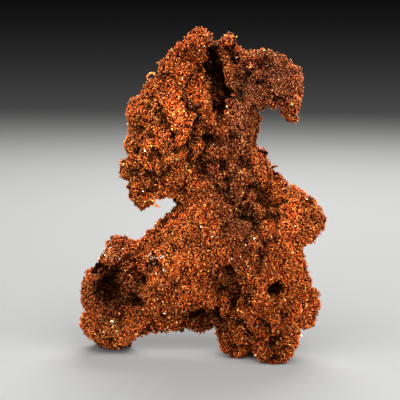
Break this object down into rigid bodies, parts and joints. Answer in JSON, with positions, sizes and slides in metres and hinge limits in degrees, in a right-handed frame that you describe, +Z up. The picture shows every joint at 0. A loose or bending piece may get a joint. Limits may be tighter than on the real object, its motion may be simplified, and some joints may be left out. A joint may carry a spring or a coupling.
{
  "type": "copper crystal cluster",
  "caption": "Free-standing natural cluster of native copper crystals, a craggy lobed mass with a hooked arm, a hanging wing and spreading feet, for display.",
  "frame": {"origin": "on the resting plane, under the middle of the cluster's box", "axes": "+Z up, +X to the right seen from the show side, +Y away from the viewer; -Y is the show side"},
  "size_m": [0.0742, 0.038, 0.0985],
  "materials": {
    "copper": "natural crystals of native copper with a thin brown tarnish"
  },
  "bodies": {
    "root": {"copper_cluster": "copper"}
  },
  "joints": []
}
